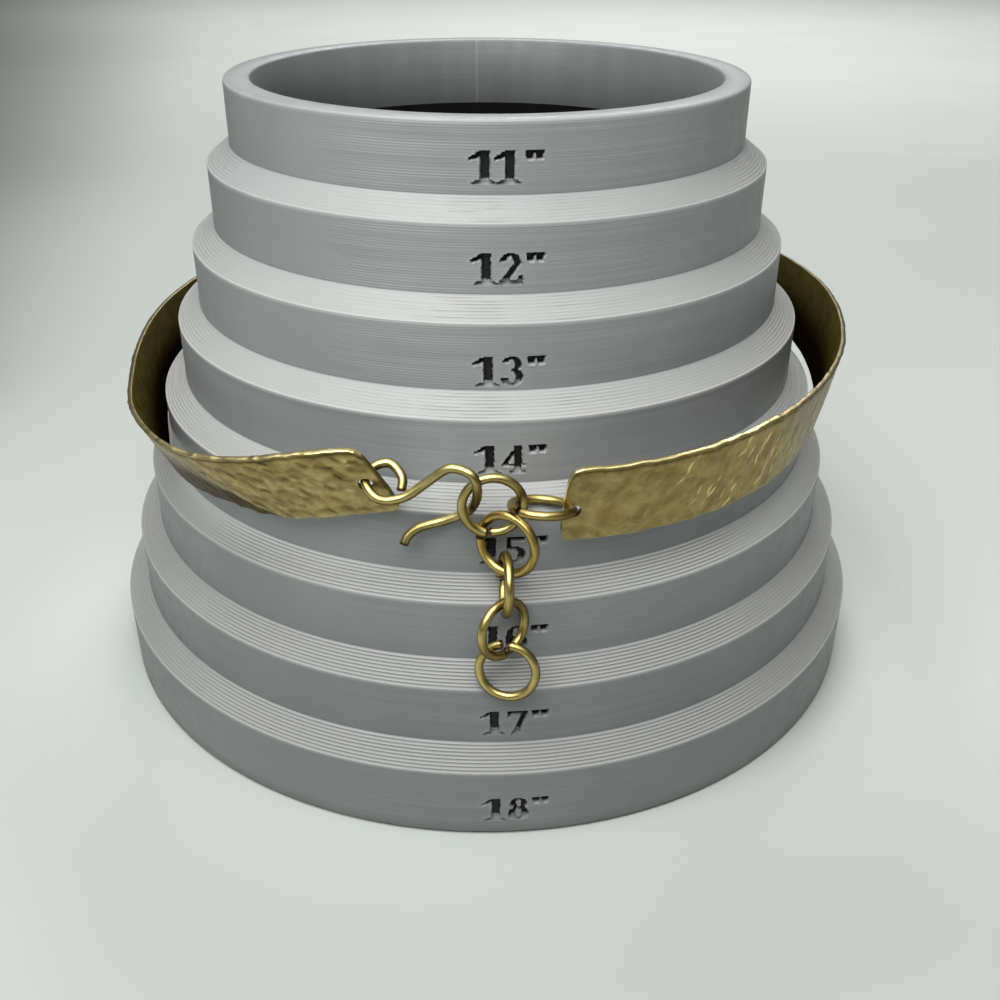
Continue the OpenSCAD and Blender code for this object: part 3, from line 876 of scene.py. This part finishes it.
def stroked(x, y):
    """Height of the raised strokes and dents that the hammer's edge left, 1 for the highest."""
    random = np.random.RandomState(5)
    total = np.zeros(x.shape)
    for first, last, count, slant, shortest, longest, half_width, height in STROKES:
        for number in range(count):
            cx = length_at(first + (last - first) * (number + random.uniform(0, 1)) / count)
            cy = random.uniform(-0.38, 0.38) * STRIP_W
            turn = math.radians(slant + random.uniform(-9, 9))
            half = random.uniform(shortest, longest) / 2
            bend = random.uniform(0.12, 0.3)
            phase = random.uniform(0, 6)
            high = height * random.uniform(0.45, 1)
            near, lengthwise, sideways = mark_axes(x, y, cx, cy, turn, half + 1)
            sideways = sideways + bend * np.sin(lengthwise * 1.7 + phase)
            broken = np.clip(0.75 + 0.6 * np.sin(lengthwise * 2.3 + 2 * phase), 0, 1)
            taper = np.clip(1 - (lengthwise / half) ** 2, 0, 1) ** 0.7 * broken
            made = high * taper * np.exp(-(sideways / half_width) ** 2)
            total[near] = np.where(np.abs(made) > np.abs(total[near]), made, total[near])
    return total


def strip_columns():
    """Plan angles of the strip's sections, close together at the front and at the ends."""
    parts = []
    start = length_at(RIGHT_SECTIONS[-1])
    for angle, step in SECTION_STEPS:
        end = length_at(angle)
        parts.append(np.linspace(start, end, round((end - start) / step) + 1)[1:])
        start = end
    return np.concatenate([RIGHT_SECTIONS, angle_at(np.concatenate(parts)[:-1]), LEFT_SECTIONS])


def strip_edges(a):
    """Lower and upper edge of the strip at plan angles, with the waves of the hammered rim."""
    x = length_at(a)
    wavy = read_off(WAVY, 1, a)
    edges = []
    for column, waves in ((1, LOW_WAVES), (2, HIGH_WAVES)):
        wave = sum(height * wander(x, seed, spacing) for seed, height, spacing in waves)
        edges.append(read_off(ENDS, column, a) * STRIP_W / 2 + (wave * wavy + read_off(UNEVEN, column, a)))
    return edges


def strip_grid(a, low, high):
    """Places of the face's points along and across the strip, and the cells that its holes take. The
    points round a hole are moved onto its circle."""
    share = np.linspace(0, 1, STRIP_ROWS)
    share = share - 0.06 * np.sin(2 * math.pi * share)
    y = (low + EDGE_R)[:, None] + share * (high - low - 2 * EDGE_R)[:, None]
    x = np.repeat(length_at(a)[:, None], STRIP_ROWS, 1)
    mid_x = (x[:-1, :-1] + x[1:, 1:]) / 2
    mid_y = (y[:-1, :-1] + y[1:, 1:]) / 2
    gone = np.zeros(mid_x.shape, bool)
    for angle, across in HOLES:
        hx = length_at(angle)
        hole = np.hypot(mid_x - hx, mid_y - across) < HOLE_R
        gone |= hole
        touched = np.zeros(x.shape, int)
        for di in (0, 1):
            for dj in (0, 1):
                touched[di:len(x) - 1 + di, dj:STRIP_ROWS - 1 + dj] += hole
        rim = (touched > 0) & (touched < 4)
        dx = x[rim] - hx
        dy = y[rim] - across
        size = HOLE_R / np.hypot(dx, dy)
        x[rim] = hx + dx * size
        y[rim] = across + dy * size
    return x, y, gone


def beaten_back(where, y, bent_line, bends):
    """How far the lower part of the strip lies behind its face, with a crisp bend at the front."""
    softness = np.clip((326 - where) / 8, 0.1, 1) * 0.5
    eased = softness * np.log1p(np.exp(np.clip((bent_line - y) / softness, -30, 30)))
    return -read_off(PUSH, 1, where) * (1 - np.exp(-eased / PUSH_REACH)) * bends


def rounded_edge(section, edge, side, face, back, worn, flare):
    """Four rows round an edge of the strip, from its outer face to its inner one."""
    mid, up, out = section
    rows = []
    for inset, depth in ((0.3, face - 0.3 * worn), (0, face - worn), (0, back + worn + flare),
                         (0.3, back + 0.3 * worn)):
        rows.append(mid + up * (edge - side * inset * worn)[:, None] + out * depth[:, None])
    return np.stack(rows, 1)


def strip_faces(gone, columns, sides):
    """Faces round the strip, the walls of its holes and a cap at each end."""
    ids, shifted = loops_of(columns, sides)
    kept = np.ones((columns - 1, sides), bool)
    kept[:, :STRIP_ROWS - 1] = ~gone
    kept[:, FIRST_INNER:FIRST_INNER + STRIP_ROWS - 1] = ~gone[:, ::-1]
    faces = np.stack([ids[:-1], ids[1:], shifted[1:], shifted[:-1]], -1)[kept].tolist()
    outer = ids[:, :STRIP_ROWS]
    inner = ids[:, FIRST_INNER:FIRST_INNER + STRIP_ROWS][:, ::-1]
    for i, j in zip(*np.nonzero(gone)):
        corners = ((i, j), (i + 1, j), (i + 1, j + 1), (i, j + 1))
        neighbours = ((i, j - 1), (i + 1, j), (i, j + 1), (i - 1, j))
        for p, q, neighbour in zip(corners, corners[1:] + corners[:1], neighbours):
            if not gone[neighbour]:
                faces.append([int(k) for k in (outer[p], outer[q], inner[q], inner[p])])
    for i, flip in ((0, False), (columns - 1, True)):
        caps = [(outer[i, j], outer[i, j + 1], inner[i, j + 1], inner[i, j]) for j in range(STRIP_ROWS - 1)]
        caps.append(ids[i, STRIP_ROWS - 1:FIRST_INNER + 1])
        caps.append((*ids[i, FIRST_INNER + STRIP_ROWS - 1:], ids[i, 0]))
        for cap in caps:
            face = [int(k) for k in cap]
            faces.append(face[::-1] if flip else face)
    return faces


def side_by_side(face, top_edge, inner, low_edge):
    """Joins values of the outer face, upper edge, inner face and lower edge into rows round the strip."""
    columns = max(map(len, (face, top_edge, inner, low_edge)))
    widths = (STRIP_ROWS, EDGE_ROWS, STRIP_ROWS, EDGE_ROWS)
    parts = zip((face, top_edge, inner, low_edge), widths)
    return np.concatenate([np.broadcast_to(values, (columns, width)) for values, width in parts], 1)


def add_strip(finish):
    a = strip_columns()
    low, high = strip_edges(a)
    x, y, gone = strip_grid(a, low, high)
    where = angle_at(x)
    marks, ridge = hammered(x, y)
    strokes = stroked(x, y)
    to_edge = high[:, None] - y
    from_low = y - low[:, None]
    burr = TOP_BURR * np.exp(-(to_edge / BURR_REACH) ** 2) + LOW_BURR * np.exp(-(from_low / BURR_REACH) ** 2)
    dent = np.clip(marks, *DENTS) - SUNK + burr + STROKE_H * strokes
    bent_line = read_off(BENT_BACK, 1, where) * STRIP_W + low[:, None]
    bends = bent_line > low[:, None] + 0.01
    pushed = beaten_back(where, y, bent_line, bends)

    thick = STRIP_T / 2
    mid, up, out = strip_frame(where)
    outer = mid + up * y[..., None] + out * (thick + dent + pushed)[..., None]
    inner_bulge = INNER_SHARE * np.clip(marks, *INNER_DENTS)
    inner = mid + up * y[..., None] - out * (thick - inner_bulge - pushed)[..., None]
    column_x = length_at(a)
    flare = 0.04 * wander(column_x, 31, 1.6)
    edges = []
    for edge, side, row, seed in ((high, 1, -1, 41), (low, -1, 0, 42)):
        worn = EDGE_R * (1 + 0.25 * wander(column_x, seed, 1.3))
        face = thick + dent[:, row] + pushed[:, row]
        back = pushed[:, row] - thick
        edges.append(rounded_edge(strip_frame(a), edge, side, face, back, worn, flare))
    loop = np.concatenate([outer, edges[0], inner[:, ::-1], edges[1][:, ::-1]], 1)
    columns, sides = loop.shape[:2]

    # Painted highlights and wear on ridges and raised strokes, painted light on upward slopes and the crest
    # of the bend; painted shade on downward slopes and dents, in the groove under the upper edge and below
    # the bend
    crest_highlight = 0.35 * np.exp(-((y - bent_line) / 0.25) ** 2) * (bent_line > low[:, None] + 0.5) * (where > 323)
    groove_shade = 0.7 * np.exp(-((to_edge - 0.6) / 0.25) ** 2)
    fade = np.clip((325 - where) / 7, 0, 1)
    bent_band_shade = np.clip((bent_line + 1.5 * fade - y) / (0.3 + 4.2 * fade), 0, 1) * bends
    uphill = np.gradient(dent, axis=1) / np.gradient(y, axis=1)
    slopes = np.clip(-uphill, -0.6, 0.6) * read_off(SLOPE_LIGHT_AND_SHADE, 1, where)
    face_wear_and_light = (1 - 0.7 * np.clip(bent_band_shade * 3, 0, 1)) * (0.05 + 0.12 * ridge + 0.9 * strokes + slopes)
    face_wear_and_light += crest_highlight - groove_shade - 0.85 * bent_band_shade + read_off(WORN_FACE, 1, where)
    painted_light_and_wear = side_by_side(face_wear_and_light, read_off(TOP_WEAR_AND_LIGHT, 1, a)[:, None], [[0]], [[WORN_LOW_EDGE]])
    inner_share = side_by_side([[0]], [[0, 0, 0, 0.3]], [[1]], [[0.3, 0, 0, 0]])
    inner_share = np.repeat(inner_share, columns, 0)
    # Greyer the farther round the strip is from the front
    from_front = np.abs((a + 180) % 360 - 180)
    greyer_sides = np.clip((from_front - np.where(a > 180, 31, 36)) / 16, 0, 1)
    greyer_sides = np.repeat((0.75 * greyer_sides * greyer_sides * (3 - 2 * greyer_sides))[:, None], sides, 1)
    place_x = side_by_side(x, column_x[:, None], x[:, ::-1], column_x[:, None])
    place_y = side_by_side(y, high[:, None], y[:, ::-1], low[:, None])
    place = np.stack([place_x, place_y, inner_share * 40], -1)
    attributes = {"painted_light_and_wear": painted_light_and_wear.ravel(), "inner": inner_share.ravel(), "greyer_sides": greyer_sides.ravel(),
                  "strip_place": place.reshape(-1, 3)}
    faces = strip_faces(gone, columns, sides)
    points = loop.reshape(-1, 3)
    make_piece("hammered_strip", points, faces, finish, "strip_brass", ["strip"], attributes, 80)


# Wire

# Rings: middle (its height over the resting step), tilt and turn of the axis, place of the seam, mid
# radius, how far the ends are sprung apart along the axis, opening in degrees, how golden
RINGS = [
    (7.8, -63.6, 2.7, 14, 164, 56, 4.4, 0.1, 4, 0.45),
    (0.7, -63.6, 3.0, 89, 4, 262, 4.45, 0.2, 3, 0.1),
    (2.8, -64.5, -3.0, 86, -31, 177, 4.6, 0.15, 4, 0.75),
    (2.6, -66.9, -8.4, 93, 96, 340, 4.3, 0.35, 5, 0.35),
    (2.3, -68.3, -15.3, 85, 42, 271, 4.3, 0.15, 4, 0.3),
    (2.9, -69.4, -22.2, 81, -12, 96, 4.35, 0.3, 12, 0.25)]
# Hook: points on the wire's middle line, from the closed eye to the tip, heights over the resting step
HOOK = np.array([
    [-12.4, -62.7, 4.9], [-12.3, -61.5, 6.5], [-14.0, -59.9, 7.9], [-16.3, -59.8, 7.4],
    [-17.6, -60.9, 6.0], [-17.2, -62.4, 5.1], [-15.8, -63.6, 4.2], [-14.0, -64.1, 4.1],
    [-11.5, -64.2, 4.9], [-8.8, -64.1, 6.9], [-6.0, -64.3, 9.1], [-4.2, -64.7, 9.5],
    [-2.2, -65.4, 8.8], [-1.5, -65.5, 7.0], [-1.7, -63.9, 4.0], [-3.0, -61.9, 1.0],
    [-6.3, -61.3, -0.8], [-10.0, -61.4, -1.9], [-11.8, -61.8, -3.2], [-12.4, -62.3, -4.4]])
WIRE_SIDES = 20
HOOK_STEPS = 9
RING_STEPS = 110
HOOK_SEED = 3
RING_SEEDS = 10
# How much the shears took off the radius of a cut end, and the length that has the colour of the cut
CUT_BITE = 0.12
CUT_LENGTH = 0.65
# Side of the wire painted pale as the light falls on it, away from the neck and above; the side turned away
# is painted dark
PAINTED_LIGHT_SIDE = (-0.25, -0.55, 0.8)


def hook_line():
    """Smooth middle line through the hook's points."""
    points = HOOK + [0, 0, REST_Z]
    line = []
    for i in range(len(points) - 1):
        a, b, c, d = (points[min(max(k, 0), len(points) - 1)] for k in (i - 1, i, i + 1, i + 2))
        for s in np.arange(HOOK_STEPS) / HOOK_STEPS:
            square = (a * 2 - b * 5 + c * 4 - d) * s**2
            cube = (b * 3 - a - c * 3 + d) * s**3
            line.append((b * 2 + (c - a) * s + square + cube) / 2)
    return np.array(line + [points[-1]])


def ring_line(x, y, z, tilt, turn, seam, radius, spring, opening):
    """Middle line of an open ring, its ends sprung apart along the axis."""
    gap = opening / 2
    a = np.radians(seam + np.linspace(gap, 360 - gap, RING_STEPS))
    side = np.linspace(-1, 1, RING_STEPS)
    axial = spring * np.sign(side) * np.abs(side) ** 5
    local = np.stack([radius * np.cos(a), radius * np.sin(a), axial], -1)
    t = math.radians(tilt)
    local = local @ np.array([[1, 0, 0], [0, math.cos(t), math.sin(t)], [0, -math.sin(t), math.cos(t)]])
    u = math.radians(turn)
    local = local @ np.array([[math.cos(u), math.sin(u), 0], [-math.sin(u), math.cos(u), 0], [0, 0, 1]])
    return local + [x, y, REST_Z + z]


def add_wire(name, line, node, finish, seed, golden=0.0):
    """Round wire along a line, slightly uneven, cut off flat at both ends."""
    ahead = unit(np.gradient(line, axis=0))
    side = unit(np.cross(ahead[0], [0.3, 0.2, 1.0]))
    sides = []
    for direction in ahead:
        side = unit(side - direction * (side @ direction))
        sides.append(side)
    sides = np.array(sides)
    others = np.cross(ahead, sides)
    along = run_along(line)
    turn = np.arange(WIRE_SIDES) * 2 * math.pi / WIRE_SIDES
    wave = 0.018 * wander(along + 7, seed, 2.4)[:, None]
    radius = WIRE_R * (1 + (wave + 0.014 * np.sin(turn * 2 + along[:, None] * 0.4)))
    radius[[0, -1]] = WIRE_R - CUT_BITE
    cos = np.cos(turn)[:, None]
    sin = np.sin(turn)[:, None]
    outward = sides[:, None] * cos + others[:, None] * sin
    points = line[:, None] + radius[..., None] * outward
    painted_light_facing = unit(points - line[:, None]) @ np.array(PAINTED_LIGHT_SIDE)
    ids, shifted = loops_of(len(line), WIRE_SIDES)
    faces = np.stack([ids[:-1], shifted[:-1], shifted[1:], ids[1:]], -1).reshape(-1, 4).tolist()
    faces += [ids[0, ::-1].tolist(), ids[-1].tolist()]
    across = [np.broadcast_to(WIRE_R * part[:, 0], radius.shape) for part in (cos, sin)]
    lengthwise = np.repeat(along[:, None], WIRE_SIDES, 1)
    place = np.stack([*across, lengthwise + seed * 50], -1)
    from_end = np.minimum(lengthwise, along[-1] - lengthwise)
    cut = np.clip(1 - from_end / CUT_LENGTH, 0, 1)
    attributes = {"wire_place": place.reshape(-1, 3), "cut": cut.ravel(), "painted_light_and_wear": painted_light_facing.ravel(),
                  "golden": np.full(painted_light_facing.size, golden)}
    make_piece(name, points.reshape(-1, 3), faces, finish, "wire_brass", [node], attributes, 45)


def add_floor(finish):
    """Wide card under the stand."""
    points = [(x, y, 0) for x, y in ((-2000, -1500), (2000, -1500), (2000, 2200), (-2000, 2200))]
    make_piece("floor", points, [(0, 1, 2, 3)], finish)


add_camera()
add_world((0.94, 0.97, 0.95), 0.08)
add_light("ceiling", "SUN", (-0.1, 0, 1), (0, 0, 0), 1.3, angle=math.radians(90))
add_light("far_panel", "AREA", (0.15, 0.88, 0.8), (0.13, 0.88, 0), 10, size=0.6)
add_light("near_panel", "AREA", (-0.06, -0.18, 0.3), (-0.02, -0.04, 0.03), 1.05, size=0.26)
add_floor(floor_card())
add_stand(printed_plastic())
add_strip(aged_brass())
drawn_wire = wire_brass()
add_wire("clasp_hook", hook_line(), "hook", drawn_wire, HOOK_SEED)
for number, (*ring, golden) in enumerate(RINGS, 1):
    add_wire(f"chain_ring_{number}", ring_line(*ring), f"ring_{number}", drawn_wire,
             RING_SEEDS + number, golden)

bpy.context.scene.view_settings.view_transform = "Standard"
